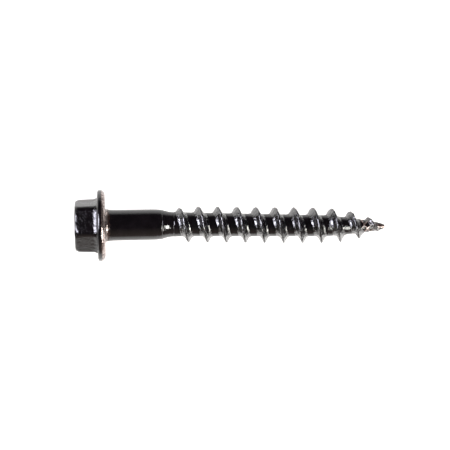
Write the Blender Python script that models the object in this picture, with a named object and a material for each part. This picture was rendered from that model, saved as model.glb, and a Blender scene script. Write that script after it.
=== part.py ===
"""Hex washer head wood screw, lying along X with its point at +X.

The real screw is one cold-formed piece of steel. Here each region that a maker's drawing would name is a
closed solid of its own, and neighbours meet face to face. The origin is the centre of the bearing face,
the flat underside of the washer flange. Sizes are in metres."""

import math

import bpy
from mathutils import Vector

MM = 0.001

# Length, from the bearing face to the tip
LENGTH = 38.1 * MM

# Hexagon: its flats lean in towards the top, and its corners are rounded
HEX_TOP_ACROSS_FLATS = 6.40 * MM
HEX_BASE_ACROSS_FLATS = 6.58 * MM
HEX_CORNER_RADIUS = 0.80 * MM
HEX_TURN = math.radians(11.8)  # from +Z towards +Y, the direction that one flat faces
HEX_TOP_X = -4.15 * MM
CROWN_RADIUS = 0.42 * MM
HEX_FILLET = 0.46 * MM
DISH_RADIUS = 1.90 * MM
DISH_DEPTH = 0.22 * MM
DISH_SLOPE = 0.30 * MM

# Washer flange
FLANGE_RADIUS = 4.85 * MM
FLANGE_TOP_X = -1.08 * MM
TOP_FLAT_RADIUS = 4.48 * MM
BEARING_FLAT_RADIUS = 4.20 * MM
RIM_TOP_X = -0.78 * MM
RIM_UNDER_X = -0.68 * MM
UNDER_HEAD_FILLET = 0.30 * MM

# Shank, and the shoulder down to the core
SHANK_RADIUS = 2.09 * MM
SHANK_EASE_X = 6.30 * MM
SHANK_END_X = 7.65 * MM
SHANK_END_RADIUS = 2.01 * MM
NECK_END_X = 9.20 * MM

# Threaded core and point
CORE_START_RADIUS = 1.70 * MM
CORE_MIDDLE_X = 12.40 * MM
CORE_MIDDLE_RADIUS = 1.64 * MM
CORE_END_X = 30.30 * MM
CORE_END_RADIUS = 1.47 * MM
POINT_POWER = 0.60  # the point's radius falls as this power of the length that is left
TIP_RADIUS = 0.18 * MM

# Thread: right-hand, single start
PITCH = 2.597 * MM
CREST_PHASE_X = 9.95 * MM  # where a crest passes the +Y side
CREST_RADIUS = 2.41 * MM
RIDGE_FLANK = math.radians(27)  # between a flank and the plane square to the axis
CREST_WIDTH = 0.16 * MM
ROOT_BLEND = 0.14 * MM
THREAD_START_X = 8.90 * MM
RUN_IN_LENGTH = 3.00 * MM
THREAD_END_X = 37.60 * MM
POINT_LOSS = 0.35  # share of its height that the ridge would lose over the point if it didn't sink as well
POINT_FADE_START = 0.50  # shares of the point's length where the ridge begins to sink and is gone
POINT_FADE_END = 0.95
LEAST_HEIGHT = 0.05 * MM
SEAT_GAP = 0.01 * MM  # clearance between the ridge and the core that carries it

# Facets
ROUND_SIDES = 48
THREAD_SIDES = 24  # sides of the core, and sections in a turn of the ridge
ARC_STEPS = 4
POINT_STEPS = 12
NECK_STEPS = 6
SMOOTH_ANGLE = math.radians(32)


def clear_scene():
    for thing in list(bpy.data.objects):
        bpy.data.objects.remove(thing, do_unlink=True)


def make_material(name, colour, roughness, metallic):
    material = bpy.data.materials.new(name)
    material.use_nodes = True
    shader = material.node_tree.nodes["Principled BSDF"]
    shader.inputs["Base Color"].default_value = (*colour, 1.0)
    shader.inputs["Roughness"].default_value = roughness
    shader.inputs["Metallic"].default_value = metallic
    return material


def loft(name, rings, material):
    """One closed body through rings of equal length, which run counter-clockwise seen from +X."""
    count = len(rings[0])
    points = [point for ring in rings for point in ring]
    faces = []
    for row in range(len(rings) - 1):
        for i in range(count):
            j = (i + 1) % count
            low, high = row * count, (row + 1) * count
            faces.append((low + i, low + j, high + j, high + i))
    last = (len(rings) - 1) * count
    faces.append(tuple(reversed(range(count))))
    faces.append(tuple(range(last, last + count)))
    mesh = bpy.data.meshes.new(name)
    mesh.from_pydata(points, [], faces)
    mesh.materials.append(material)
    mesh.shade_smooth()
    mesh.set_sharp_from_angle(angle=SMOOTH_ANGLE)
    made = bpy.data.objects.new(name, mesh)
    bpy.context.scene.collection.objects.link(made)
    return made


def on_circle(x, radius, angle):
    """A point at this angle from +Y towards +Z."""
    return Vector((x, radius * math.cos(angle), radius * math.sin(angle)))


def round_ring(x, radius, sides=ROUND_SIDES):
    return [on_circle(x, radius, math.tau * i / sides) for i in range(sides)]


def hexagon_ring(x, across_flats, corner_radius):
    """A hexagon with rounded corners, one flat facing HEX_TURN away from +Z towards +Y."""
    to_corner_centre = (across_flats / 2 - corner_radius) / math.cos(math.pi / 6)
    first_flat = math.pi / 2 - HEX_TURN
    ring = []
    for corner in range(6):
        middle = first_flat + math.pi / 6 + corner * math.pi / 3
        centre = on_circle(x, to_corner_centre, middle)
        for step in range(ARC_STEPS + 1):
            angle = middle + math.pi / 3 * (step / ARC_STEPS - 0.5)
            ring.append(centre + on_circle(0, corner_radius, angle))
    return ring


def hex_width_at(x):
    share = (x - HEX_TOP_X) / (FLANGE_TOP_X - HEX_TOP_X)
    return HEX_TOP_ACROSS_FLATS + (HEX_BASE_ACROSS_FLATS - HEX_TOP_ACROSS_FLATS) * share


def quarter_turn(steps):
    return [math.pi / 2 * step / steps for step in range(steps + 1)]


def dish_rings():
    """From the middle of the dished top out to its flat rim, shaped like the hexagon with fuller corners."""
    floor_x = HEX_TOP_X + DISH_DEPTH
    inner = DISH_RADIUS - DISH_SLOPE
    return [
        hexagon_ring(floor_x, 2 * inner, inner),
        hexagon_ring(HEX_TOP_X, 2 * DISH_RADIUS, DISH_RADIUS),
    ]


def make_hex_head(material):
    rings = dish_rings()
    for angle in quarter_turn(ARC_STEPS):
        x = HEX_TOP_X + CROWN_RADIUS * (1 - math.cos(angle))
        inset = CROWN_RADIUS * (1 - math.sin(angle))
        width = hex_width_at(x) - 2 * inset
        rings.append(hexagon_ring(x, width, HEX_CORNER_RADIUS - inset / 2))
    for angle in quarter_turn(ARC_STEPS):
        x = FLANGE_TOP_X - HEX_FILLET * (1 - math.sin(angle))
        flare = HEX_FILLET * (1 - math.cos(angle))
        rings.append(hexagon_ring(x, hex_width_at(x) + 2 * flare, HEX_CORNER_RADIUS + flare))
    return loft("hex_head", rings, material)


def edge_arc(start, end, steps):
    """A quarter of an ellipse from start to end, each (x, radius), leaving start along the radius."""
    points = []
    for angle in quarter_turn(steps):
        x = end[0] + (start[0] - end[0]) * math.cos(angle)
        radius = start[1] + (end[1] - start[1]) * math.sin(angle)
        points.append((x, radius))
    return points


def make_washer_flange(material):
    outline = edge_arc((FLANGE_TOP_X, TOP_FLAT_RADIUS), (RIM_TOP_X, FLANGE_RADIUS), ARC_STEPS)
    under = edge_arc((0.0, BEARING_FLAT_RADIUS), (RIM_UNDER_X, FLANGE_RADIUS), ARC_STEPS)
    outline += reversed(under)
    for angle in quarter_turn(ARC_STEPS):
        x = UNDER_HEAD_FILLET * (1 - math.cos(angle))
        outline.append((x, SHANK_RADIUS + UNDER_HEAD_FILLET * (1 - math.sin(angle))))
    return loft("washer_flange", [round_ring(x, radius) for x, radius in outline], material)


def shank_stations():
    return [
        (UNDER_HEAD_FILLET, SHANK_RADIUS),
        (SHANK_EASE_X, SHANK_RADIUS),
        (SHANK_END_X, SHANK_END_RADIUS),
    ]


def neck_stations():
    """The shoulder leaves the shank at its steepest and flattens out on to the core."""
    stations = []
    for step in range(NECK_STEPS + 1):
        share = step / NECK_STEPS
        x = SHANK_END_X + (NECK_END_X - SHANK_END_X) * share
        drop = (SHANK_END_RADIUS - CORE_START_RADIUS) * math.sin(math.pi / 2 * share)
        stations.append((x, SHANK_END_RADIUS - drop))
    return stations


def core_stations():
    return [
        (NECK_END_X, CORE_START_RADIUS),
        (CORE_MIDDLE_X, CORE_MIDDLE_RADIUS),
        (CORE_END_X, CORE_END_RADIUS),
    ]


def point_stations():
    stations = []
    for step in range(POINT_STEPS + 1):
        share = math.sin(math.pi / 2 * step / POINT_STEPS)
        x = CORE_END_X + (LENGTH - CORE_END_X) * share
        radius = TIP_RADIUS + (CORE_END_RADIUS - TIP_RADIUS) * (1 - share) ** POINT_POWER
        stations.append((x, radius))
    return stations


def make_turned(name, stations, sides, material):
    rings = [round_ring(x, radius, sides) for x, radius in stations]
    return loft(name, rings, material)


def core_radius_at(x):
    """The radius of the faceted core under the ridge, between its own rings."""
    stations = neck_stations() + core_stations()[1:] + point_stations()[1:]
    for (low_x, low), (high_x, high) in zip(stations, stations[1:]):
        if x <= high_x:
            return low + (high - low) * (x - low_x) / (high_x - low_x)
    return stations[-1][1]


def smooth_step(share):
    held = min(max(share, 0.0), 1.0)
    return held * held * (3 - 2 * held)


def ridge_height_at(x):
    """One crest radius along the thread, reached from nothing at the neck and sinking towards the tip."""
    run_in = min(max((x - THREAD_START_X) / RUN_IN_LENGTH, 0.0), 1.0)
    along_point = max((x - CORE_END_X) / (LENGTH - CORE_END_X), 0.0)
    fade = smooth_step((along_point - POINT_FADE_START) / (POINT_FADE_END - POINT_FADE_START))
    full = CREST_RADIUS - core_radius_at(min(x, CORE_END_X))
    height = full * (1 - (1 - run_in) ** 2) * (1 - POINT_LOSS * along_point) * (1 - fade)
    return max(height, LEAST_HEIGHT)


def ridge_section(x, angle):
    """The ridge's outline where its crest passes this x and angle, over the crest towards the head."""
    height = ridge_height_at(x)
    base = core_radius_at(x) + SEAT_GAP
    half_crest = CREST_WIDTH / 2
    half_root = half_crest + height * math.tan(RIDGE_FLANK)
    blend = min(ROOT_BLEND, 0.4 * height)
    half = [
        (half_root + blend, None),
        (half_root - 0.3 * blend, blend),
        (half_crest, height),
    ]
    across = half + [(-offset, rise) for offset, rise in reversed(half)] + [(0.0, None)]
    section = []
    for offset, rise in across:
        at = x + offset
        radius = core_radius_at(at) + SEAT_GAP if rise is None else base + rise
        section.append(on_circle(at, radius, angle))
    return section


def make_thread(material):
    """Each section lies on one of the core's own edges, so that the ridge sits flat on its facets."""
    step = PITCH / THREAD_SIDES
    first = math.ceil((THREAD_START_X - CREST_PHASE_X) / step)
    last = math.floor((THREAD_END_X - CREST_PHASE_X) / step)
    rings = []
    for i in range(first, last + 1):
        angle = math.tau * (i % THREAD_SIDES) / THREAD_SIDES
        rings.append(ridge_section(CREST_PHASE_X + i * step, angle))
    return loft("thread", rings, material)


def main():
    clear_scene()
    black = make_material("black_coating", (0.012, 0.009, 0.011), 0.16, 0.0)
    brown_black = make_material("flange_coating", (0.020, 0.012, 0.012), 0.20, 0.2)
    worn = make_material("worn_point_coating", (0.055, 0.036, 0.032), 0.30, 0.5)
    make_hex_head(black)
    make_washer_flange(brown_black)
    make_turned("shank", shank_stations(), ROUND_SIDES, black)
    make_turned("neck_taper", neck_stations(), THREAD_SIDES, black)
    make_turned("thread_core", core_stations(), THREAD_SIDES, black)
    make_turned("gimlet_point", point_stations(), THREAD_SIDES, worn)
    make_thread(black)


main()
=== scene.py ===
"""Looks of the hex washer head wood screw: a lumpy, glossy black coating, thin and brown under the flange
and at the point. Shapes are worked out in millimetres in the part's frame and stored in metres."""

import math

import bpy
from mathutils import Matrix, Vector, noise


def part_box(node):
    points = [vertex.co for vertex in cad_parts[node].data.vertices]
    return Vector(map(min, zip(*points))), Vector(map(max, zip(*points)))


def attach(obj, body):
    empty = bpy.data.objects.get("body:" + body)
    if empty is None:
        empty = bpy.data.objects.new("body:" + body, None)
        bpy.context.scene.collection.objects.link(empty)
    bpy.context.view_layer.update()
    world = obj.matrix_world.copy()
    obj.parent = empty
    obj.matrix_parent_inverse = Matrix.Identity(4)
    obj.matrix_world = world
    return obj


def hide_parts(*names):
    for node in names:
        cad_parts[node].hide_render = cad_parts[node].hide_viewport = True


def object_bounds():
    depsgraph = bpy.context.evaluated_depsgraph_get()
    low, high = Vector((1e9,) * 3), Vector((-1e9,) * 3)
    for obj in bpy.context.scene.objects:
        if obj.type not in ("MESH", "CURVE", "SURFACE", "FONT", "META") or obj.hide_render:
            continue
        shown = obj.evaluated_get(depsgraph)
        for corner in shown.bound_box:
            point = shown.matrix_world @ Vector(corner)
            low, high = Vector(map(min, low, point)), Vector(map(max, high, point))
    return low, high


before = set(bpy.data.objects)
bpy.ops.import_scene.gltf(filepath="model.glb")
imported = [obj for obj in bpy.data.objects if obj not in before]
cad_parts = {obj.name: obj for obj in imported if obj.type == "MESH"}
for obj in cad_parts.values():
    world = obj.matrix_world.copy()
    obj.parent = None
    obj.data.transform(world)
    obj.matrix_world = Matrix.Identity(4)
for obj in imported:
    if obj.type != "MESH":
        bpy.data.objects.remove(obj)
cad_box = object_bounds()

MM = 0.001


def node_box(name):
    """The low and the high corner of a node's box, in millimetres."""
    low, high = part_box(name)
    return Vector(low) / MM, Vector(high) / MM


# Sizes from the frame, in millimetres
HEX_LOW, HEX_HIGH = node_box("hex_head")
FLANGE_HIGH = node_box("washer_flange")[1]
SHANK_LOW, SHANK_HIGH = node_box("shank")
NECK_LOW, NECK_HIGH = node_box("neck_taper")
CORE_LOW, CORE_HIGH = node_box("thread_core")
POINT_LOW, POINT_HIGH = node_box("gimlet_point")
TOP_X = HEX_LOW.x
FLANGE_TOP_X = HEX_HIGH.x
STUB_X = FLANGE_HIGH.x
FLANGE_RADIUS = FLANGE_HIGH.z
SHANK_RADIUS = SHANK_HIGH.z
NECK_START_RADIUS = NECK_HIGH.y
CORE_START_RADIUS = CORE_HIGH.y
POINT_START_RADIUS = POINT_HIGH.y

# Hexagon. Other sizes below are in millimetres too, up to the view.
HEX_TOP_WIDTH = 6.40  # across flats
HEX_BASE_WIDTH = 6.58
HEX_TURN = math.radians(11.8)
CORNER_RADIUS = 0.80
CORNER_STEPS = 12
FLAT_STEPS = 22
SIDE_ROWS = 15
CROWN = 0.28
CROWN_ROWS = 12
CROWN_CORNER_RADIUS = 0.70
CONE_TOP_RADIUS = 3.28  # where the crown's cone, which cuts the corners, meets the top
CONE_SLOPE = 0.7
CONE_BLEND = 0.04
DISH_RADIUS = 1.90
DISH_DEPTH = 0.22
DISH_FLAT_SHARE = 0.7
DISH_ROWS = 8
ROUND_CORNER = 0.999  # a corner radius this near the half width makes the hexagon a circle
DOME = 0.05
DOME_REACH = 1.5
HEX_FILLET = 0.50
FILLET_SLOPE = math.radians(20)  # the fillet starts as a shallow flare
FILLET_TURNS = ((0.20, 0.6), (0.16, 0.9), (0.20, 1.0), (0.20, 1.15))  # shares of its height and its slope
FILLET_ROWS = 10

# Lumps of the head's coating, as (height, width, seed), stronger on the crown and in the fillet
HEAD_LUMPS = ((0.012, 0.9, 4), (0.010, 0.35, 5), (0.011, 0.16, 17))
HEAD_BEND_LUMPS = 2.4
HEAD_LUMPS_ALONG = 0.6
CROWN_ZONE, CROWN_FADE = 0.15, 0.20
FILLET_ZONE, FILLET_FADE = 0.55, 0.15

# Flange
FLANGE_SIDES = 200
TOP_FLAT_RADIUS = 4.48
BEARING_FLAT_RADIUS = 4.20
RIM_TOP_X = -0.78
RIM_UNDER_X = -0.68
RIM_ROWS = 14
RIM_UNDER_ROWS = 12
UNDER_FILLET = 0.30
UNDER_FILLET_ROWS = 10
FLANGE_OUT_LUMPS = ((0.022, 1.3, 6), (0.012, 0.45, 7))
FLANGE_ALONG_LUMPS = ((0.020, 1.1, 8), (0.010, 0.4, 9))
INNER_LUMPS = 0.4  # share of the lumps that is left at the middle of the flange
LUMPY_RADIUS, LUMPY_FADE = 3.4, 1.0
STUB_FADE = 0.15
WORN_X, WORN_FADE = -0.62, 0.16
UNDER_WEAR = 0.95
RIM_WEAR, RIM_WEAR_RADIUS, RIM_WEAR_FADE = 0.27, 3.7, 0.4
FILLET_WEAR, FILLET_WEAR_MARGIN, FILLET_WEAR_FADE = 0.22, 0.1, 0.3

# Shank and neck
SHANK_SIDES = 128
SHANK_STEP = 0.12
NECK_STEP = 0.05
EASE_X = 6.30  # where the shank starts to ease into the neck
FLARE = 0.22  # a slight flare towards the flange
FLARE_LENGTH = 0.38
BEAD_X = 7.70  # a faint, broken bead where the rolled part begins
BEAD_WIDTH = 0.07
BEAD_HEIGHT = 0.014
BEAD_LEVEL = 0.4
BEAD_BREAKS = (1.1, 0.28, 3)
BODY_LUMPS = ((0.004, 0.010, 0.9, 1), (0.002, 0.007, 0.3, 2))  # height, more where rolled, width, seed
ROLLED_FADE = 2.0
HEAD_WEAR, HEAD_WEAR_X, HEAD_WEAR_FADE = 1.18, 0.15, 0.8

# Core and point
CORE_SIDES = 112
CORE_STEP = 0.13
CORE_MIDDLE_X = 12.40
CORE_MIDDLE_RADIUS = 1.64
POINT_POWER = 0.60
POINT_ROWS = 110
POINT_ROW_POWER = 1.4  # rows lie closer together towards the tip
TIP_RADIUS = 0.18
TIP_ROUNDING = 0.10
TIP_END_AREA = 0.02  # share of the area that is left at the very end
POINT_WEAR, POINT_WEAR_X, POINT_WEAR_FADE = 0.8, 34.0, 1.0
BARE_TIP_X, BARE_TIP_FADE = 36.4, 0.5
THREAD_TIP_LESS, THREAD_TIP_FADE = 0.6, 0.8
MARKS_START_X, MARKS_START_FADE = 34.2, 0.6
MARKS_END_X, MARKS_END_FADE = 36.6, 0.4
MARK_HEIGHT = 0.045
MARKS = ((5, 7.0), (4, -6.0))  # two crossed sets of lines: how many round, and radians per mm along
MARK_LEVEL, MARK_FADE = 0.35, 0.5
MARK_BREAKS = (0.3, 0.5, 18)
MARK_WEAR, MARK_COVER = 1.45, 0.35
# How bare the tip's sides are, and how far below nothing its upper and lower edges go: painted shade.
TIP_WEAR, TIP_EDGE_SHADE = 1.3, 0.3
TIP_SIDES = 2.2  # the tip is bare steel where it faces the camera and the floor; above and below it stays black with its gloss cut, painted shade on its upper and lower edges

# Thread
PITCH = 2.597
CREST_PHASE_X = 9.95
CREST_RADIUS = 2.45
FLANK_SLOPE = 1 / math.tan(math.radians(27))
CREST_HALF = 0.10
CREST_BLEND = 0.05
ROOT_BLEND = 0.15
ROOT_REACH = 0.30
THREAD_START_X = 8.85
THREAD_END_X = 37.65
RUN_IN = 2.40
POINT_LOSS = 0.27
FADE_START = 0.50
FADE_END = 0.95
LEAST_HEIGHT = 0.02
STEPS_PER_TURN = 200
RIDGE_SHARES = (1, 0.88, 0.78, 0.69, 0.61, 0.53, 0.46, 0.39, 0.32, 0.26, 0.20, 0.15, 0.10, 0.06, 0.03)
ROOT_SHARES = (-0.5, 0.0, 0.5)
UNDERSIDE_SHARE, UNDERSIDE_DROP = 0.9, 0.02  # the ridge's hidden underside lies inside the core
SINK = 0.014
LUMP_CIRCLE = 2.0  # where the lumps of the ridge as a whole are read
LOW_RIDGE = 0.1
HEIGHT_LUMPS = ((0.05, 0.8, 10), (0.04, 0.3, 11))
LEAN_LUMPS = (0.05, 1.4, 12)
FLANK_LUMPS = ((0.055, 0.38, 13), (0.050, 0.18, 14))
DENTS = ((0.032, 0.30, 15), (0.030, 0.16, 16))
DENT_EDGE = 0.75
CREST_SHADE_MIDDLE, CREST_SHADE_HALF, CREST_SHADE_FADE = 0.05, 0.07, 0.03  # painted shade: the gloss is cut along the crest, so that it stays black like the shadowed floor it would mirror
CREST_SHADE_LEAST_HEIGHT = 0.2
THREAD_WEAR = 0.8

# Bend: the real screw is bent by about 1.6 degrees where the thread starts
BEND_X = 9.0
BEND_LENGTH = 1.8
BEND_HEAD_SLOPE = 0.0181
BEND_POINT_SLOPE = 0.0098
BEND_RISE = 0.16

# View, in metres
CAMERA_DISTANCE = 0.220
CAMERA_TILT = math.radians(4.1)
VIEW_WIDTH = 61.11 * MM  # what the picture spans at the screw's axis
VIEW_X = 16.20 * MM
VIEW_Y = 0.055 * MM
SENSOR = 36.0  # in millimetres
CLIP_START = 0.01

# Studio, in metres. The cards stand on either side of the screw, and only its gloss shows them.
FLOOR_DROP = 0.02 * MM
FLOOR_HALF = 1.6
FLOOR_COLOUR = (0.82, 0.82, 0.82, 1)
FLOOR_STRENGTH = 1.15
FLOOR_FAR_GLOW = (0.80, 0.79, 0.78)
FLOOR_NEAR_GLOW = (0.98, 0.965, 0.94)
FLOOR_THREAD_GLOW = (1.60, 1.57, 1.53)
FLOOR_FADE_Y = 3 * MM
THREAD_GLOW_X = (4 * MM, 12 * MM)
CARD_DISTANCE = 40 * MM
CARD_HEIGHT = 9 * MM
CARD_LENGTH = 130 * MM
CARD_FOOT = 2.5 * MM
CARD_FOOT_GLOW = (1.5, 1.5, 1.5)
CARD_LOW_GLOW = (0.60, 0.50, 0.44)
CARD_HIGH_GLOW = (0.55, 0.55, 0.56)
WORLD_DARK = (0.030, 0.029, 0.034)
WORLD_WARM = (0.42, 0.34, 0.29)
WORLD_WARM_Y = (-0.4, -1.0)

# Softboxes: name, lean in x and y, distance, half width in x and y, radiance, colour. Angles in degrees.
OVERHEAD = ("overhead", 0, 0, 0.9, 41.6, 41.6, 1.35, (1, 1, 1))
GLOSS_LIGHTS = (
    ("left", -42, 11, 0.5, 13, 15, 33, (0.88, 0.87, 1.0)),
    ("far_left", -66, 8, 0.5, 8, 13, 13, (0.86, 0.85, 1.0)),
    ("right", 29, -25, 0.5, 3.5, 12, 60, (1.0, 1.0, 0.95)),
    ("low", 56, -45, 0.5, 8, 12, 20, (1.0, 0.97, 0.93)),
)

# Coating: noise per metre, and colours
BROAD_SCALE = 900
GRAIN_SCALE = 4200
FINE_SCALE = 9000
BLACK = (0.0042, 0.0030, 0.0040)
BLACK_SPREAD = 2.2
BROWN = (0.055, 0.030, 0.026)
BARE = (0.42, 0.33, 0.30)
FLANGE_BROWN = (0.045, 0.022, 0.019)
FLANGE_BARE = (0.38, 0.315, 0.295)
THREAD_BARE = (0.5, 0.45, 0.42)
POINT_BROWN = (0.05, 0.026, 0.022)
POINT_BARE = (0.60, 0.48, 0.44)
OXIDE_FROM, OXIDE_TO = 0.35, 0.95
STEEL_TO = 1.3
PATCHES = 0.35
OXIDE_ROUGHNESS = 0.07
# Gloss where the share is below nothing (painted shade on the crests and the tip's edges, and the dulled
# coat between the point's marks), and elsewhere.
DULL_AND_SHADE_SPECULAR, FULL_SPECULAR = 0.04, 0.5
ROUGHNESS_SPREAD = (0.7, 1.5)
STEEL_METALLIC = 0.9


# ---------------------------------------------------------------- shapes

def smooth_step(share):
    held = min(max(share, 0.0), 1.0)
    return held * held * (3 - 2 * held)


def smooth_max(a, b, blend):
    return (a + b + math.sqrt((a - b) ** 2 + 4 * blend * blend)) / 2


def lumps(point, size, seed):
    """Smooth noise between about -1 and 1, with lumps about this many millimetres across."""
    return noise.noise(Vector(point) / size + Vector((seed * 7.31, seed * 3.17, seed * 5.71)))


def lump_sum(point, rows):
    """The sum of some layers of lumps, each given as (height, width, seed)."""
    return sum(height * lumps(point, width, seed) for height, width, seed in rows)


def on_circle(x, radius, angle):
    """A point at this angle from +Y towards +Z."""
    return Vector((x, radius * math.cos(angle), radius * math.sin(angle)))


def bent(p):
    """The point carried along by the screw's slight bend."""
    along = p.x - BEND_X
    reach = math.hypot(along, BEND_LENGTH)
    mean = (BEND_HEAD_SLOPE + BEND_POINT_SLOPE) / 2
    lean = (BEND_POINT_SLOPE - BEND_HEAD_SLOPE) / 2
    shift = BEND_RISE - mean * reach - lean * along
    slope = -mean * along / reach - lean
    return Vector((p.x - slope * p.y, p.y + shift, p.z))


def make_piece(name, rings, material, replaced, tags=None):
    """A closed mesh through rings of equal length. tags gives each vertex its share of thin coating; below
    nothing, it marks painted shade.
    """
    count = len(rings[0])
    points = [tuple(bent(p) * MM) for ring in rings for p in ring]
    faces = []
    for row in range(len(rings) - 1):
        low, high = row * count, (row + 1) * count
        for i in range(count):
            j = (i + 1) % count
            faces.append((low + i, low + j, high + j, high + i))
    sides = len(faces)
    last = (len(rings) - 1) * count
    faces.append(tuple(reversed(range(count))))
    faces.append(tuple(range(last, last + count)))
    mesh = bpy.data.meshes.new(name)
    mesh.from_pydata(points, [], faces)
    for number, face in enumerate(mesh.polygons):
        face.use_smooth = number < sides
    layer = mesh.attributes.new("thin_coat_and_painted_shade", "FLOAT", "POINT")
    if tags:
        layer.data.foreach_set("value", [tag for ring in tags for tag in ring])
    mesh.update()
    mesh.materials.append(material)
    piece = bpy.data.objects.new(name, mesh)
    bpy.context.scene.collection.objects.link(piece)
    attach(piece, "root")
    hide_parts(replaced)


def body_radius(x):
    """The smooth body under the thread, from the stub under the flange to the tip."""
    if x <= EASE_X:
        return SHANK_RADIUS + FLARE * math.exp(-x / FLARE_LENGTH)
    if x <= NECK_LOW.x:
        share = (x - EASE_X) / (NECK_LOW.x - EASE_X)
        return SHANK_RADIUS + (NECK_START_RADIUS - SHANK_RADIUS) * share * share
    if x <= NECK_HIGH.x:
        share = (x - NECK_LOW.x) / (NECK_HIGH.x - NECK_LOW.x)
        return NECK_START_RADIUS - (NECK_START_RADIUS - CORE_START_RADIUS) * math.sin(math.pi / 2 * share)
    if x <= CORE_MIDDLE_X:
        share = (x - NECK_HIGH.x) / (CORE_MIDDLE_X - NECK_HIGH.x)
        return CORE_START_RADIUS + (CORE_MIDDLE_RADIUS - CORE_START_RADIUS) * share
    if x <= CORE_HIGH.x:
        share = (x - CORE_MIDDLE_X) / (CORE_HIGH.x - CORE_MIDDLE_X)
        return CORE_MIDDLE_RADIUS + (POINT_START_RADIUS - CORE_MIDDLE_RADIUS) * share
    left = max(1 - (x - POINT_LOW.x) / (POINT_HIGH.x - POINT_LOW.x), 0.0)
    return TIP_RADIUS + (POINT_START_RADIUS - TIP_RADIUS) * left ** POINT_POWER


def surface_point(x, angle):
    """A point of the coated body's surface, with its lumps."""
    radius = body_radius(x)
    plain = on_circle(x, radius, angle)
    rolled = smooth_step((x - NECK_LOW.x) / ROLLED_FADE)
    rows = [(height + more * rolled, width, seed) for height, more, width, seed in BODY_LUMPS]
    swell = lump_sum(plain, rows)
    bead = math.exp(-((x - BEAD_X) / BEAD_WIDTH) ** 2) * BEAD_HEIGHT
    swell += bead * (BEAD_LEVEL + lump_sum(plain, [BEAD_BREAKS]))
    return on_circle(x, radius + swell, angle)


def thin_share(x):
    """How far the coating is worn or thin on the body: by the flange, and at the point."""
    near_head = HEAD_WEAR * (1 - smooth_step((x - HEAD_WEAR_X) / HEAD_WEAR_FADE))
    at_point = POINT_WEAR * smooth_step((x - POINT_WEAR_X) / POINT_WEAR_FADE)
    at_point *= 1 - THREAD_TIP_LESS * smooth_step((x - BARE_TIP_X) / THREAD_TIP_FADE)
    return max(near_head, at_point)


def body_rings(start, end, step, sides):
    """Rings along a length of the body, with its share of thin coating."""
    rows = max(2, round((end - start) / step))
    rings, tags = [], []
    for row in range(rows + 1):
        x = start + (end - start) * row / rows
        rings.append([surface_point(x, math.tau * i / sides) for i in range(sides)])
        tags.append([thin_share(x)] * sides)
    return rings, tags


def mark_line(x, angle, base):
    """1 on the crossed lines that rolling leaves near the tip, 0 between them."""
    cross = max(math.sin(count * angle + turn * x) for count, turn in MARKS)
    return smooth_step((cross - MARK_LEVEL + lump_sum(base, [MARK_BREAKS])) / MARK_FADE)


def point_rings():
    """Rings closing in towards the blunt tip. Steel shows along the rolling marks and on its sides; above
    and below, the tip is painted shade, black with its gloss cut.
    """
    length = POINT_HIGH.x - POINT_LOW.x
    rings, tags = [], []
    for row in range(POINT_ROWS + 1):
        x = POINT_LOW.x + length * (1 - (1 - row / POINT_ROWS) ** POINT_ROW_POWER)
        marked = smooth_step((x - MARKS_START_X) / MARKS_START_FADE)
        marked *= 1 - smooth_step((x - MARKS_END_X) / MARKS_END_FADE)
        at_tip = smooth_step((x - BARE_TIP_X) / BARE_TIP_FADE)
        end = max(1 - (POINT_HIGH.x - x) / TIP_ROUNDING, 0.0)
        closing = math.sqrt(max(1 - end * end, TIP_END_AREA))
        ring, tag = [], []
        for i in range(CORE_SIDES):
            angle = math.tau * i / CORE_SIDES
            base = surface_point(min(x, POINT_HIGH.x), angle)
            line = mark_line(x, angle, base)
            radius = math.hypot(base.y, base.z) + marked * MARK_HEIGHT * (line - 0.5)
            ring.append(on_circle(x, radius * closing, angle))
            bare_line = MARK_WEAR * line - MARK_COVER
            # Bare on the sides facing the camera and the floor; above and below, black with the gloss cut:
            # painted shade on the tip's edges.
            tip_wear_and_shade = TIP_WEAR * smooth_step(abs(math.sin(angle)) * TIP_SIDES - 1.0) - TIP_EDGE_SHADE
            tag.append(marked * bare_line + at_tip * tip_wear_and_shade)
        rings.append(ring)
        tags.append(tag)
    return rings, tags


def hexagon_ring(x, across_flats, corner_radius):
    """A hexagon with rounded corners, each flat cut into equal steps."""
    to_centre = (across_flats / 2 - corner_radius) / math.cos(math.pi / 6)
    first = math.pi / 2 - HEX_TURN
    corners = []
    for corner in range(6):
        middle = first + math.pi / 6 + corner * math.pi / 3
        centre = on_circle(x, to_centre, middle)
        arc = []
        for step in range(CORNER_STEPS + 1):
            angle = middle + math.pi / 3 * (step / CORNER_STEPS - 0.5)
            arc.append(centre + on_circle(0, corner_radius, angle))
        corners.append(arc)
    ring = []
    for corner in range(6):
        arc = corners[corner]
        following = corners[(corner + 1) % 6]
        ring += arc
        for step in range(1, FLAT_STEPS):
            ring.append(arc[-1].lerp(following[0], step / FLAT_STEPS))
    return ring


def hex_width(x):
    """Width across flats, which grows towards the flange."""
    share = (x - TOP_X) / (FLANGE_TOP_X - TOP_X)
    return HEX_TOP_WIDTH + (HEX_BASE_WIDTH - HEX_TOP_WIDTH) * share


def coned(ring, x):
    """The crown's cone cuts back the corners near the top."""
    limit = CONE_TOP_RADIUS + CONE_SLOPE * (x - TOP_X)
    cut = []
    for p in ring:
        radius = math.hypot(p.y, p.z)
        held = -smooth_max(-radius, -limit, CONE_BLEND)
        scale = min(held / radius, 1.0)
        cut.append(Vector((p.x, p.y * scale, p.z * scale)))
    return cut


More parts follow.
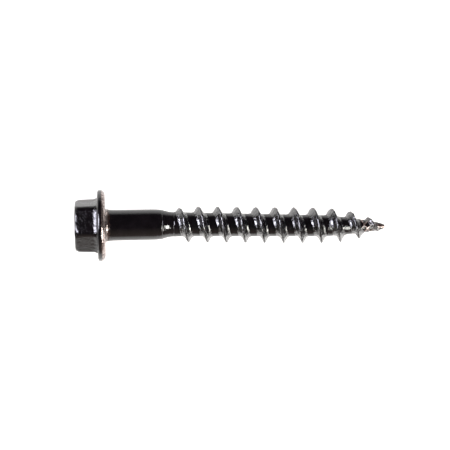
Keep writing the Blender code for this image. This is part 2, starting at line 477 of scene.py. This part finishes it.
def lumpy(ring, amount, size, seed):
    """Lumps on the head's coating, stronger on the crown and in the fillet."""
    bumped = []
    for p in ring:
        outward = Vector((0, p.y, p.z)).normalized()
        in_fillet = smooth_step((p.x - FLANGE_TOP_X + FILLET_ZONE) / FILLET_FADE)
        on_crown = 1 - smooth_step((p.x - TOP_X - CROWN_ZONE) / CROWN_FADE)
        shift = amount * (1 + HEAD_BEND_LUMPS * max(in_fillet, on_crown)) * lumps(p, size, seed)
        bumped.append(p + outward * shift + Vector((shift * HEAD_LUMPS_ALONG, 0, 0)))
    return bumped


def domed(ring):
    """The top falls away slightly from its middle, and the sides carry this less and less."""
    moved = []
    for p in ring:
        fall = DOME * min((p.y * p.y + p.z * p.z) / HEX_TOP_WIDTH ** 2 * 4, 1.0)
        moved.append(p + Vector((fall * (1 - smooth_step((p.x - TOP_X) / DOME_REACH)), 0, 0)))
    return moved


def fillet_outline(start):
    """Steps (x, flare) down the fillet: it turns quickly to a shallow flare, keeps it, and turns into the
    flange."""
    points, x, flare, slope = [], start, 0.0, 0.0
    for length_share, slope_share in FILLET_TURNS:
        length = length_share * HEX_FILLET
        slope = slope_share * FILLET_SLOPE
        x += length
        flare += length * math.tan(slope)
        points.append((x, flare))
    radius = (FLANGE_TOP_X - x) / (1 - math.sin(slope))
    for step in range(1, FILLET_ROWS + 1):
        angle = slope + (math.pi / 2 - slope) * step / FILLET_ROWS
        down = radius * (math.sin(angle) - math.sin(slope))
        out = radius * (math.cos(slope) - math.cos(angle))
        points.append((x + down, flare + out))
    return points


def hex_rings():
    """From the middle of the dish, over the crown and down the sides, to the foot of the fillet."""
    rings = []
    for share in (0.02, 0.25, 0.5, DISH_FLAT_SHARE):
        radius = DISH_RADIUS * share
        rings.append(hexagon_ring(TOP_X + DISH_DEPTH, 2 * radius, radius * ROUND_CORNER))
    for step in range(1, DISH_ROWS + 1):
        share = step / DISH_ROWS
        radius = DISH_RADIUS * (DISH_FLAT_SHARE + (1 - DISH_FLAT_SHARE) * share)
        x = TOP_X + DISH_DEPTH * (1 - smooth_step(share))
        rings.append(hexagon_ring(x, 2 * radius, radius * ROUND_CORNER))
    crown_start = hex_width(TOP_X) / 2 - CROWN
    for share in (0.35, 0.7):
        radius = DISH_RADIUS + (crown_start - DISH_RADIUS) * share
        rings.append(hexagon_ring(TOP_X, 2 * radius, radius - (radius - CROWN_CORNER_RADIUS) * share))
    for step in range(CROWN_ROWS + 1):
        angle = math.pi / 2 * step / CROWN_ROWS
        x = TOP_X + CROWN * (1 - math.cos(angle))
        inset = CROWN * (1 - math.sin(angle))
        ring = hexagon_ring(x, hex_width(x) - 2 * inset, CORNER_RADIUS - inset / 2)
        rings.append(coned(ring, x))
    side_start, side_end = TOP_X + CROWN, FLANGE_TOP_X - HEX_FILLET
    for step in range(1, SIDE_ROWS + 1):
        x = side_start + (side_end - side_start) * step / SIDE_ROWS
        rings.append(coned(hexagon_ring(x, hex_width(x), CORNER_RADIUS), x))
    for x, flare in fillet_outline(side_end):
        rings.append(hexagon_ring(x, hex_width(x) + 2 * flare, CORNER_RADIUS + flare))
    for height, width, seed in HEAD_LUMPS:
        rings = [lumpy(ring, height, width, seed) for ring in rings]
    return [domed(ring) for ring in rings]


def ellipse(start, end, steps):
    """A quarter of an ellipse from start to end, each (x, radius), leaving start along the radius."""
    points = []
    for step in range(steps + 1):
        angle = math.pi / 2 * step / steps
        x = end[0] + (start[0] - end[0]) * math.cos(angle)
        points.append((x, start[1] + (end[1] - start[1]) * math.sin(angle)))
    return points


def flange_outline(stub_radius):
    """Steps (x, radius) over the flange's top, round its rim, along its underside and down the fillet."""
    outline = [(FLANGE_TOP_X, TOP_FLAT_RADIUS * share) for share in (0.5, 0.75, 0.83, 0.91)]
    outline += ellipse((FLANGE_TOP_X, TOP_FLAT_RADIUS), (RIM_TOP_X, FLANGE_RADIUS), RIM_ROWS)
    under = ellipse((0.0, BEARING_FLAT_RADIUS), (RIM_UNDER_X, FLANGE_RADIUS), RIM_UNDER_ROWS)
    outline += reversed(under)
    inner = stub_radius + UNDER_FILLET
    for share in (0.15, 0.3, 0.45, 0.6, 0.75, 0.9):
        outline.append((0.0, BEARING_FLAT_RADIUS + (inner - BEARING_FLAT_RADIUS) * share))
    for step in range(UNDER_FILLET_ROWS + 1):
        angle = math.pi / 2 * step / UNDER_FILLET_ROWS
        x = UNDER_FILLET * (1 - math.cos(angle))
        outline.append((x, stub_radius + UNDER_FILLET * (1 - math.sin(angle))))
    return outline


def flange_rings():
    """Rings round the flange, with uneven edges and the share of thin coating under it."""
    stub_radius = body_radius(STUB_X)
    inner = stub_radius + UNDER_FILLET
    rings, tags = [], []
    for x, radius in flange_outline(stub_radius):
        edge = smooth_step((radius - LUMPY_RADIUS) / LUMPY_FADE)
        at_stub = smooth_step((STUB_X - x) / STUB_FADE) if radius < inner else 1.0
        on_rim = smooth_step((radius - RIM_WEAR_RADIUS) / RIM_WEAR_FADE)
        in_fillet = smooth_step((inner + FILLET_WEAR_MARGIN - radius) / FILLET_WEAR_FADE)
        wear = UNDER_WEAR + RIM_WEAR * on_rim + FILLET_WEAR * in_fillet
        ring = []
        for i in range(FLANGE_SIDES):
            angle = math.tau * i / FLANGE_SIDES
            p = on_circle(x, radius, angle)
            grow = edge * lump_sum(p, FLANGE_OUT_LUMPS)
            rise = (INNER_LUMPS + (1 - INNER_LUMPS) * edge) * lump_sum(p, FLANGE_ALONG_LUMPS)
            ring.append(on_circle(x + rise * at_stub, radius + grow, angle))
        rings.append(ring)
        tags.append([smooth_step((x - WORN_X) / WORN_FADE) * wear] * FLANGE_SIDES)
    return rings, tags


def ridge_height(x):
    """Height of the crest above the core, with its run-in at the neck and its fading at the point."""
    run_in = min(max((x - THREAD_START_X) / RUN_IN, 0.0), 1.0)
    along = max((x - CORE_HIGH.x) / (POINT_HIGH.x - CORE_HIGH.x), 0.0)
    fade = smooth_step((along - FADE_START) / (FADE_END - FADE_START))
    full = CREST_RADIUS - body_radius(min(x, CORE_HIGH.x))
    return full * (1 - (1 - run_in) ** 2) * (1 - POINT_LOSS * along) * (1 - fade)


def ridge_rise(offset, height):
    """Height of the ridge above the core at this distance along the axis from its crest."""
    flank = height - (abs(offset) - CREST_HALF) * FLANK_SLOPE
    topped = -smooth_max(-flank, -height, CREST_BLEND)
    return smooth_max(topped, 0.0, ROOT_BLEND)


def thread_rings():
    """Sections of the ridge along the helix, each over its crest and back inside the core."""
    step = PITCH / STEPS_PER_TURN
    first = math.ceil((THREAD_START_X - CREST_PHASE_X) / step)
    last = math.floor((THREAD_END_X - CREST_PHASE_X) / step)
    spread = [*RIDGE_SHARES, 0, *(-share for share in reversed(RIDGE_SHARES))]
    rings, tags = [], []
    for i in range(first, last + 1):
        angle = math.tau * (i % STEPS_PER_TURN) / STEPS_PER_TURN
        x = CREST_PHASE_X + i * step
        on_core = on_circle(x, LUMP_CIRCLE, angle)
        height = max(ridge_height(x), LEAST_HEIGHT) * (1 + lump_sum(on_core, HEIGHT_LUMPS))
        lean = lump_sum(on_core, [LEAN_LUMPS])
        reach = CREST_HALF + height / FLANK_SLOPE + ROOT_REACH
        ring, tag = [], []
        for share in spread:
            offset = share * reach
            rise = ridge_rise(offset, height)
            up = min(rise / max(height, LOW_RIDGE), 1.0)
            base = surface_point(x + offset, angle)
            edge = 1 - smooth_step((abs(share) - DENT_EDGE) / (1 - DENT_EDGE))
            radius = math.hypot(base.y, base.z) + rise + edge * lump_sum(base, DENTS) - SINK
            p = on_circle(x + offset + lean * up, radius, angle)
            rough = up * lump_sum(p, FLANK_LUMPS)
            ring.append(p + Vector((rough * (1 if offset >= 0 else -1), 0, 0)))
            # Painted shade: along the crest the coating loses its gloss and stays black, in place of the
            # floor's shadow it would mirror.
            crest_shade = smooth_step((CREST_SHADE_HALF - abs(offset - CREST_SHADE_MIDDLE)) / CREST_SHADE_FADE)
            crest_shade *= smooth_step(height / CREST_SHADE_LEAST_HEIGHT)
            tag.append(thin_share(x) * THREAD_WEAR * (1 - crest_shade) - crest_shade)
        for share in ROOT_SHARES:
            under_x = x + share * reach
            ring.append(on_circle(under_x, UNDERSIDE_SHARE * body_radius(under_x) - UNDERSIDE_DROP, angle))
            tag.append(0.0)
        rings.append(ring)
        tags.append(tag)
    return rings, tags


# ---------------------------------------------------------------- materials

def link(tree, source, target):
    tree.links.new(source, target)


def split_coords(tree, kind):
    """The X, Y and Z outputs of these texture coordinates."""
    parts = tree.nodes.new("ShaderNodeSeparateXYZ")
    link(tree, tree.nodes.new("ShaderNodeTexCoord").outputs[kind], parts.inputs["Vector"])
    return parts.outputs


def noise_node(tree, coords, scale, detail, roughness=0.5):
    node = tree.nodes.new("ShaderNodeTexNoise")
    node.inputs["Scale"].default_value = scale
    node.inputs["Detail"].default_value = detail
    node.inputs["Roughness"].default_value = roughness
    link(tree, coords, node.inputs["Vector"])
    return node.outputs["Fac"]


def ramp(tree, value, low, high, start=0.0, end=1.0):
    node = tree.nodes.new("ShaderNodeMapRange")
    node.inputs["From Min"].default_value = low
    node.inputs["From Max"].default_value = high
    node.inputs["To Min"].default_value = start
    node.inputs["To Max"].default_value = end
    link(tree, value, node.inputs["Value"])
    return node.outputs["Result"]


def calculate(tree, operation, first, second):
    node = tree.nodes.new("ShaderNodeMath")
    node.operation = operation
    for socket, value in zip(node.inputs, (first, second)):
        if isinstance(value, (int, float)):
            socket.default_value = value
        else:
            link(tree, value, socket)
    return node.outputs["Value"]


def mix_colour(tree, share, first, second):
    node = tree.nodes.new("ShaderNodeMix")
    node.data_type = "RGBA"
    link(tree, share, node.inputs["Factor"])
    for socket, value in ((node.inputs[6], first), (node.inputs[7], second)):
        if isinstance(value, tuple):
            socket.default_value = (*value, 1.0)
        else:
            link(tree, value, socket)
    return node.outputs[2]


def coating(name, brown, bare, roughness, lumpiness, ior):
    """Glossy coating on steel. Where the mesh says it is thin, brown oxide and specks of bare steel show;
    where its share is below nothing the gloss is cut: as painted shade along the crests and on the tip's
    upper and lower edges, and as the dulled coat between the rolling marks at the point."""
    material = bpy.data.materials.new(name)
    material.use_nodes = True
    tree = material.node_tree
    shader = tree.nodes["Principled BSDF"]
    coords = tree.nodes.new("ShaderNodeTexCoord").outputs["Object"]
    attribute = tree.nodes.new("ShaderNodeAttribute")
    attribute.attribute_name = "thin_coat_and_painted_shade"
    # Above nothing: thin coating. Below nothing: painted shade, or the dulled coat between the point's
    # marks.
    thin = attribute.outputs["Fac"]
    broad = noise_node(tree, coords, BROAD_SCALE, 3)
    grains = noise_node(tree, coords, GRAIN_SCALE, 4, 0.6)
    fine = noise_node(tree, coords, FINE_SCALE, 2, 0.6)
    patches = calculate(tree, "ADD", thin, ramp(tree, grains, 0.3, 0.7, -PATCHES, PATCHES))
    oxide = ramp(tree, patches, OXIDE_FROM, OXIDE_TO)
    steel = ramp(tree, patches, OXIDE_TO, STEEL_TO)
    paler = tuple(BLACK_SPREAD * c for c in BLACK)
    coat = mix_colour(tree, ramp(tree, broad, 0.35, 0.7), BLACK, paler)
    colour = mix_colour(tree, steel, mix_colour(tree, oxide, coat, brown), bare)
    link(tree, colour, shader.inputs["Base Color"])
    link(tree, calculate(tree, "MULTIPLY", steel, STEEL_METALLIC), shader.inputs["Metallic"])
    gloss = ramp(tree, grains, 0.3, 0.75, *(roughness * share for share in ROUGHNESS_SPREAD))
    rusty = calculate(tree, "MULTIPLY", oxide, OXIDE_ROUGHNESS)
    link(tree, calculate(tree, "ADD", gloss, rusty), shader.inputs["Roughness"])
    # Below nothing the gloss drops: painted shade on the crests and the tip's edges, and the dark between
    # the point's marks.
    specular = ramp(tree, thin, -1.0, 0.0, DULL_AND_SHADE_SPECULAR, FULL_SPECULAR)
    link(tree, specular, shader.inputs["Specular IOR Level"])
    shader.inputs["IOR"].default_value = ior
    bump = tree.nodes.new("ShaderNodeBump")
    bump.inputs["Strength"].default_value = 1.0
    bump.inputs["Distance"].default_value = lumpiness * MM
    small = calculate(tree, "MULTIPLY", fine, 0.5)
    large = calculate(tree, "MULTIPLY", grains, 1.5)
    link(tree, calculate(tree, "ADD", small, large), bump.inputs["Height"])
    link(tree, bump.outputs["Normal"], shader.inputs["Normal"])
    return material


# ---------------------------------------------------------------- studio

def make_camera():
    data = bpy.data.cameras.new("camera")
    data.sensor_width = SENSOR
    data.lens = SENSOR * CAMERA_DISTANCE / VIEW_WIDTH
    data.clip_start = CLIP_START
    camera = bpy.data.objects.new("camera", data)
    back = Vector((-math.sin(CAMERA_TILT), 0.0, math.cos(CAMERA_TILT)))
    camera.location = Vector((VIEW_X, VIEW_Y, 0.0)) + back * CAMERA_DISTANCE
    camera.rotation_euler = (0.0, -CAMERA_TILT, 0.0)
    bpy.context.scene.collection.objects.link(camera)
    bpy.context.scene.camera = camera


def make_sheet(name, corners, location):
    """A flat sheet of the studio with a new material, which its maker fills in."""
    mesh = bpy.data.meshes.new(name)
    mesh.from_pydata(corners, [], [(0, 1, 2, 3)])
    sheet = bpy.data.objects.new(name, mesh)
    sheet.location = location
    bpy.context.scene.collection.objects.link(sheet)
    material = bpy.data.materials.new(name)
    material.use_nodes = True
    mesh.materials.append(material)
    return sheet, material.node_tree


def make_floor(level):
    """White floor. Its glow is a little uneven: weaker on the far side, strongest along the thread."""
    size = FLOOR_HALF
    corners = [(-size, -size, 0), (size, -size, 0), (size, size, 0), (-size, size, 0)]
    floor, tree = make_sheet("floor", corners, (0, 0, level))
    shader = tree.nodes["Principled BSDF"]
    shader.inputs["Base Color"].default_value = FLOOR_COLOUR
    shader.inputs["Roughness"].default_value = 1.0
    shader.inputs["Specular IOR Level"].default_value = 0.0
    shader.inputs["Emission Strength"].default_value = FLOOR_STRENGTH
    parts = split_coords(tree, "Object")
    near_side = ramp(tree, parts["Y"], FLOOR_FADE_Y, -FLOOR_FADE_Y)
    by_thread = ramp(tree, parts["X"], *THREAD_GLOW_X)
    strong = calculate(tree, "MULTIPLY", near_side, by_thread)
    even = mix_colour(tree, near_side, FLOOR_FAR_GLOW, FLOOR_NEAR_GLOW)
    glow = mix_colour(tree, strong, even, FLOOR_THREAD_GLOW)
    link(tree, glow, shader.inputs["Emission Color"])


def make_card(name, y, level, colour):
    """A low card along the screw, bright at its foot like the floor. The camera doesn't see it."""
    half = CARD_LENGTH / 2
    corners = [(-half, 0, 0), (half, 0, 0), (half, 0, CARD_HEIGHT), (-half, 0, CARD_HEIGHT)]
    card, tree = make_sheet(name, corners, (VIEW_X, y, level))
    card.visible_camera = False
    card.visible_diffuse = False
    card.visible_shadow = False
    tree.nodes.remove(tree.nodes["Principled BSDF"])
    emission = tree.nodes.new("ShaderNodeEmission")
    height = ramp(tree, split_coords(tree, "Object")["Z"], 0.0, CARD_FOOT)
    link(tree, mix_colour(tree, height, CARD_FOOT_GLOW, colour), emission.inputs["Color"])
    link(tree, emission.outputs["Emission"], tree.nodes["Material Output"].inputs["Surface"])


def softbox(name, lean_x, lean_y, distance, spread_x, spread_y, radiance, colour):
    """A softbox over the middle of the screw, leaning from the zenith by these angles in degrees."""
    across = [math.tan(math.radians(lean_x)), math.tan(math.radians(lean_y))]
    back = Vector((*across, 1)).normalized()
    side = (Vector((0, 1, 0)) - back * back.y).normalized()
    data = bpy.data.lights.new(name, "AREA")
    data.shape = "RECTANGLE"
    data.size = 2 * distance * math.tan(math.radians(spread_y))
    data.size_y = 2 * distance * math.tan(math.radians(spread_x))
    data.energy = radiance * math.pi * data.size * data.size_y
    data.color = colour
    light = bpy.data.objects.new(name, data)
    light.location = Vector((VIEW_X, 0, 0)) + back * distance
    light.rotation_euler = Matrix((side, back.cross(side), back)).transposed().to_euler()
    bpy.context.scene.collection.objects.link(light)
    return light


def make_world():
    """Dark surroundings, warm on the near side. The camera sees them white."""
    world = bpy.data.worlds.new("studio")
    world.use_nodes = True
    tree = world.node_tree
    background = tree.nodes["Background"]
    share = ramp(tree, split_coords(tree, "Generated")["Y"], *WORLD_WARM_Y)
    link(tree, mix_colour(tree, share, WORLD_DARK, WORLD_WARM), background.inputs["Color"])
    white = tree.nodes.new("ShaderNodeBackground")
    white.inputs["Color"].default_value = (1, 1, 1, 1)
    chosen = tree.nodes.new("ShaderNodeMixShader")
    seen = tree.nodes.new("ShaderNodeLightPath").outputs["Is Camera Ray"]
    link(tree, seen, chosen.inputs["Fac"])
    link(tree, background.outputs["Background"], chosen.inputs[1])
    link(tree, white.outputs["Background"], chosen.inputs[2])
    link(tree, chosen.outputs["Shader"], tree.nodes["World Output"].inputs["Surface"])
    bpy.context.scene.world = world


# ---------------------------------------------------------------- the screw

def make_screw():
    head = coating("head_coating", BROWN, BARE, roughness=0.08, lumpiness=0.024, ior=1.53)
    flange = coating("flange_coating", FLANGE_BROWN, FLANGE_BARE, roughness=0.08, lumpiness=0.014, ior=1.52)
    body = coating("body_coating", BROWN, BARE, roughness=0.10, lumpiness=0.007, ior=1.50)
    thread = coating("thread_coating", BROWN, THREAD_BARE, roughness=0.05, lumpiness=0.042, ior=2.05)
    point = coating("point_coating", POINT_BROWN, POINT_BARE, roughness=0.14, lumpiness=0.026, ior=1.6)
    make_piece("hexagon", hex_rings(), head, "hex_head")
    rings, tags = flange_rings()
    make_piece("flange", rings, flange, "washer_flange", tags)
    rings, tags = body_rings(SHANK_LOW.x, SHANK_HIGH.x, SHANK_STEP, SHANK_SIDES)
    make_piece("plain_shank", rings, body, "shank", tags)
    rings, tags = body_rings(NECK_LOW.x, NECK_HIGH.x, NECK_STEP, SHANK_SIDES)
    make_piece("neck", rings, body, "neck_taper", tags)
    rings, tags = body_rings(CORE_LOW.x, CORE_HIGH.x, CORE_STEP, CORE_SIDES)
    make_piece("core", rings, body, "thread_core", tags)
    rings, tags = point_rings()
    make_piece("point", rings, point, "gimlet_point", tags)
    rings, tags = thread_rings()
    make_piece("ridge", rings, thread, "thread", tags)


make_camera()
floor_level = cad_box[0].z - FLOOR_DROP
make_floor(floor_level)
make_card("card_low", -CARD_DISTANCE, floor_level, CARD_LOW_GLOW)
make_card("card_high", CARD_DISTANCE, floor_level, CARD_HIGH_GLOW)
make_world()
softbox(*OVERHEAD).visible_glossy = False
for settings in GLOSS_LIGHTS:
    softbox(*settings).visible_diffuse = False
make_screw()
bpy.context.scene.view_settings.view_transform = "Standard"
